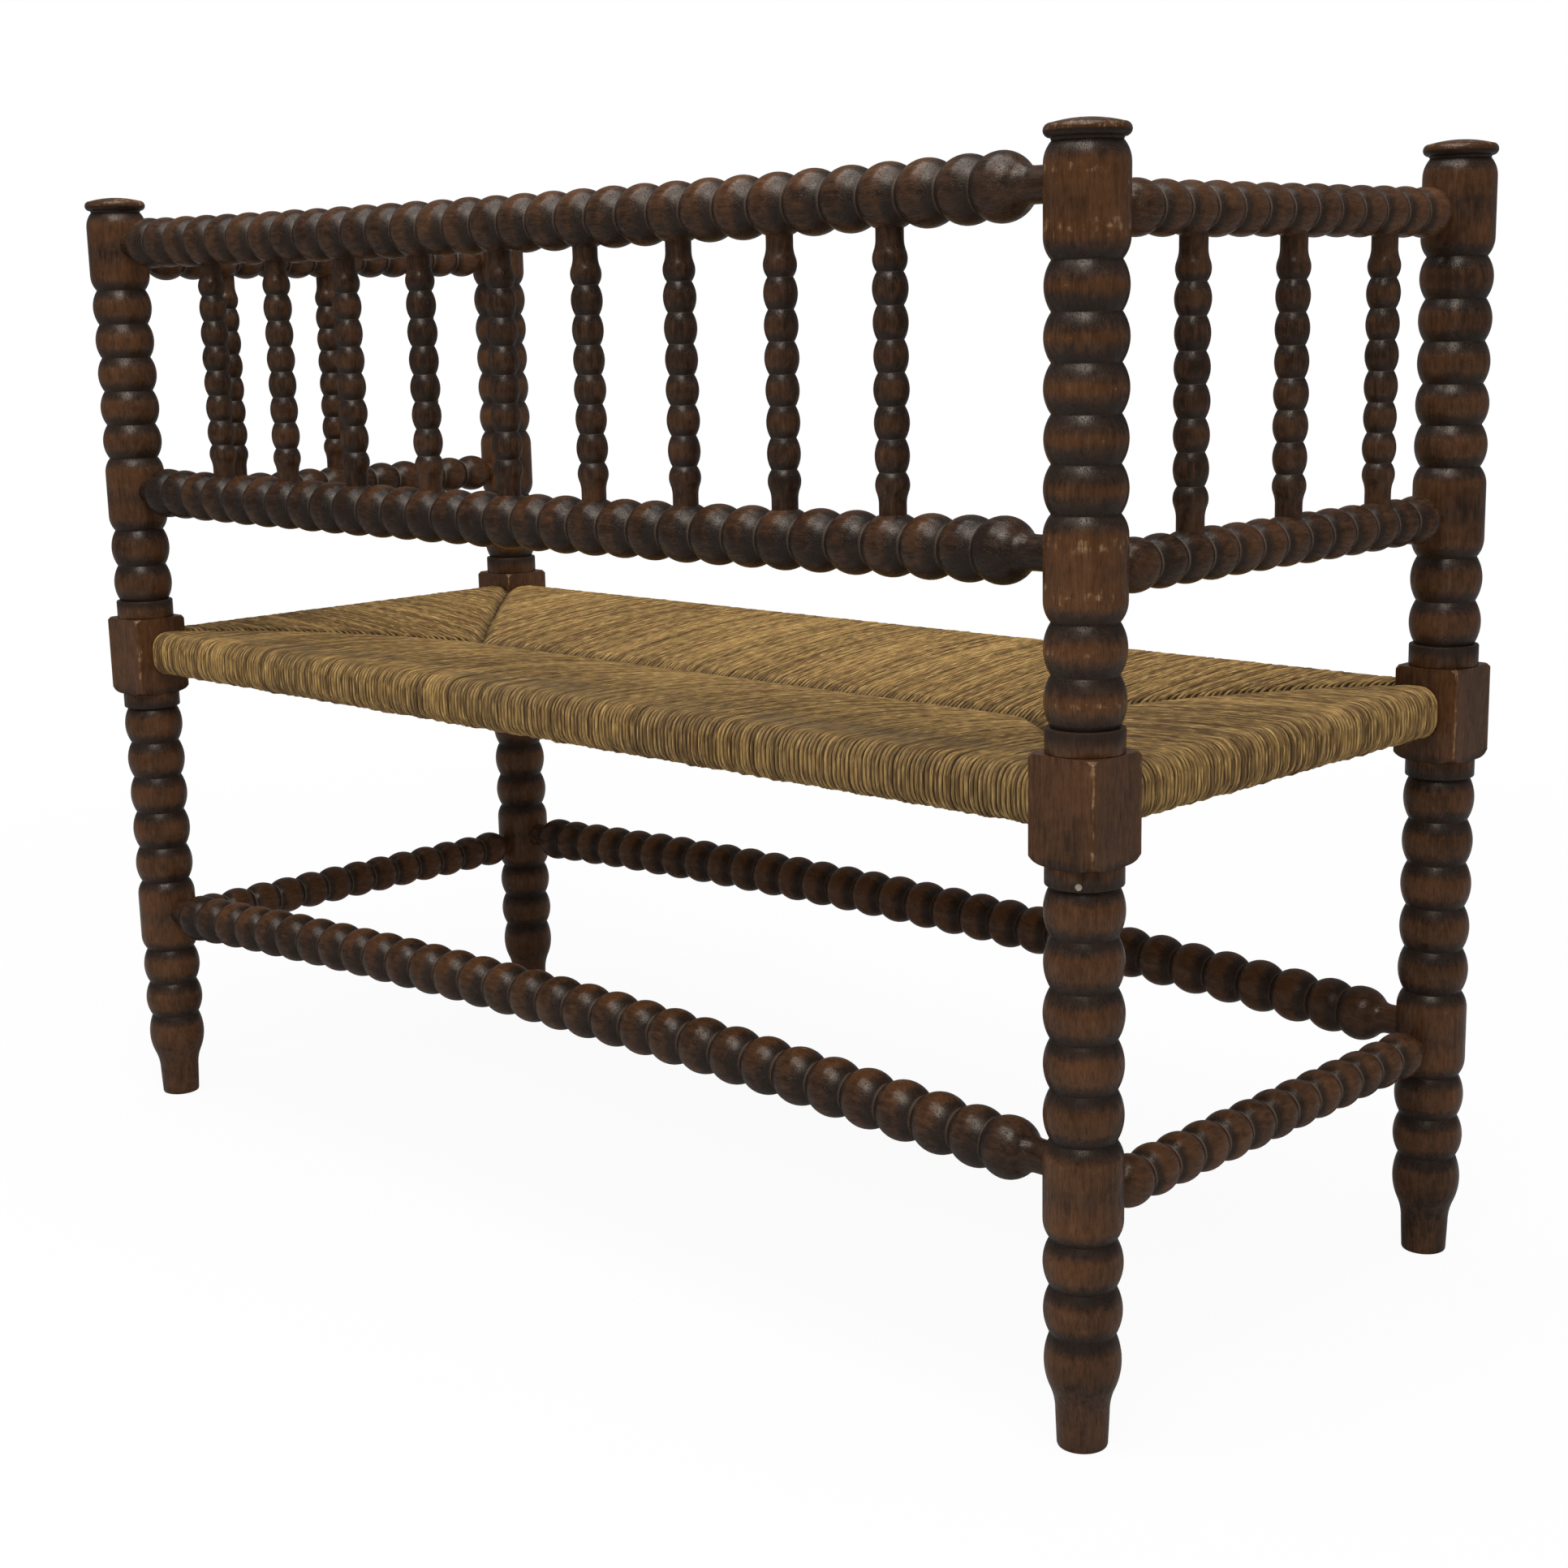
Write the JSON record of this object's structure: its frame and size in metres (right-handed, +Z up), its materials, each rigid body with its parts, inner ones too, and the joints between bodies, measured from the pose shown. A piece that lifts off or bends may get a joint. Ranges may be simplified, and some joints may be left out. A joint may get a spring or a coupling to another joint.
{
  "type": "bobbin bench",
  "caption": "Free-standing bobbin-turned wooden settle bench with a woven rush seat, a spindled back, spindled arms as high as the back, an open front and beaded stretchers.",
  "frame": {"origin": "on the floor, under the middle of the bench's bounding box", "axes": "+Z up, X along the bench, -Y towards the open front, +Y towards the spindled back"},
  "size_m": [1.0484, 0.4502, 0.7714],
  "materials": {
    "stained_wood": "dark brown stain under a worn wax polish, darker in the turned grooves",
    "plain_wood": "plain unfinished wood, hidden inside the rush",
    "rush_cord": "twisted rush cord, tan with darker gaps, matt with a slight dry sheen",
    "straw_stuffing": "loose straw and rush offcuts",
    "nail_metal": "dull worn metal"
  },
  "bodies": {
    "root": {"back_left_post": "stained_wood", "back_right_post": "stained_wood", "front_left_post": "stained_wood", "front_right_post": "stained_wood", "collar_nail": "nail_metal", "back_stretcher": "stained_wood", "front_stretcher": "stained_wood", "left_stretcher": "stained_wood", "right_stretcher": "stained_wood", "back_spindle_1": "stained_wood", "back_spindle_2": "stained_wood", "back_spindle_3": "stained_wood", "back_spindle_4": "stained_wood", "back_spindle_5": "stained_wood", "back_spindle_6": "stained_wood", "back_spindle_7": "stained_wood", "back_spindle_8": "stained_wood", "back_spindle_9": "stained_wood", "back_lower_rail": "stained_wood", "back_top_rail": "stained_wood", "left_arm_spindle_1": "stained_wood", "left_arm_spindle_2": "stained_wood", "left_arm_spindle_3": "stained_wood", "left_arm_lower_rail": "stained_wood", "left_arm_top_rail": "stained_wood", "right_arm_spindle_1": "stained_wood", "right_arm_spindle_2": "stained_wood", "right_arm_spindle_3": "stained_wood", "right_arm_lower_rail": "stained_wood", "right_arm_top_rail": "stained_wood", "back_seat_rail": "plain_wood", "front_seat_rail": "plain_wood", "right_seat_rail": "plain_wood", "left_seat_rail": "plain_wood", "back_stuffing": "straw_stuffing", "front_stuffing": "straw_stuffing", "right_stuffing": "straw_stuffing", "left_stuffing": "straw_stuffing", "rush_seat": "rush_cord"}
  },
  "joints": []
}
